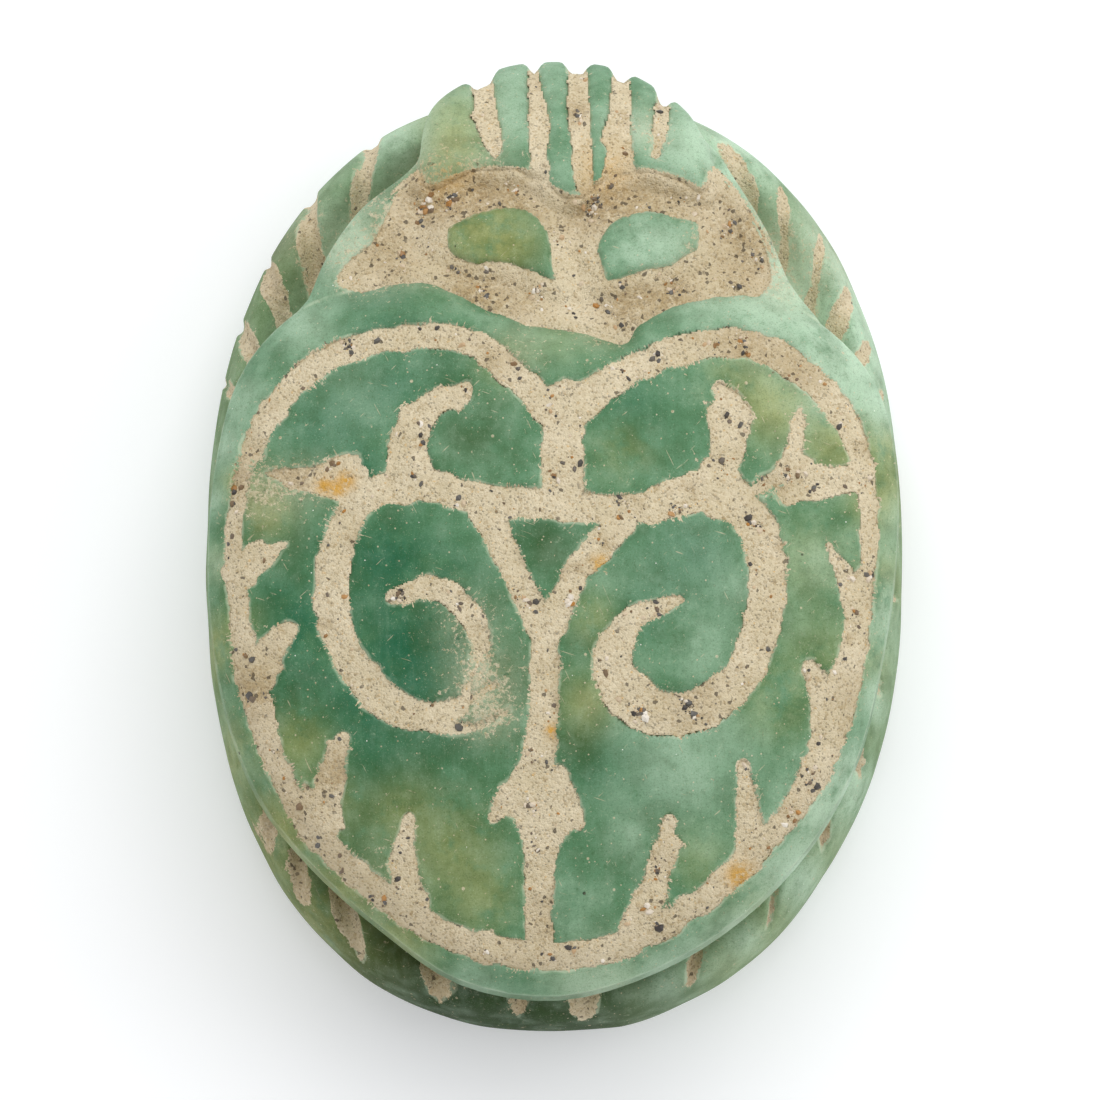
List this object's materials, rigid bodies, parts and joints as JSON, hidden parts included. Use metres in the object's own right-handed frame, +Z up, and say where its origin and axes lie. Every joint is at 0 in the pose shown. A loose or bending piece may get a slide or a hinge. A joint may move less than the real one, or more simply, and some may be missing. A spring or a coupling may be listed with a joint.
{
  "type": "scarab seal",
  "caption": "Green stone scarab seal with a fan-shaped ribbed head, a heart-shaped engraved back and sand packed in its carving.",
  "frame": {"origin": "middle of the flat underside, at the centre of the outline", "axes": "-Y towards the head, +Y towards the tail, +X towards the beetle's left side, +Z up out of the engraved back"},
  "size_m": [0.0342, 0.0468, 0.019],
  "materials": {
    "stone": "satin, worn smooth, slightly translucent, with tan sandy earth in the carving"
  },
  "bodies": {
    "root": {"scarab_stone": "stone"}
  },
  "joints": []
}
